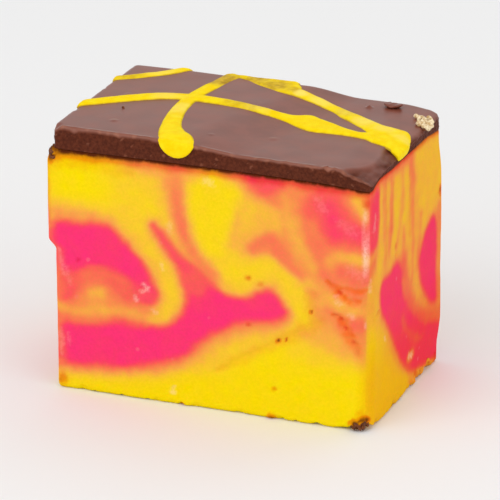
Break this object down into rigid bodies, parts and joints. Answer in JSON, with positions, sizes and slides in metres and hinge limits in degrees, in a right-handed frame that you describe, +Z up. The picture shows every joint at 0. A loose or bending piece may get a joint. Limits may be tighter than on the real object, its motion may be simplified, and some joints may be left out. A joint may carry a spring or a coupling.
{
  "type": "fudge cube",
  "caption": "Knife-cut block of marbled fudge with a thin poured chocolate layer and raised lines of icing drizzled across its top.",
  "frame": {"origin": "centre of the block's box, on the surface that it rests on", "axes": "+X along the long side, towards the end where the chocolate's top falls away; +Y from the front cut to the back cut; +Z up"},
  "size_m": [0.0436, 0.0264, 0.0353],
  "materials": {
    "fudge": "yellow fudge marbled with orange and pink, soft satin cut faces",
    "chocolate": "dark chocolate, satin on the poured top and matt on its cut sides",
    "icing": "yellow drizzled icing, satin, thin and brownish at its edges"
  },
  "bodies": {
    "root": {"fudge": "fudge", "chocolate": "chocolate"}
  },
  "joints": []
}
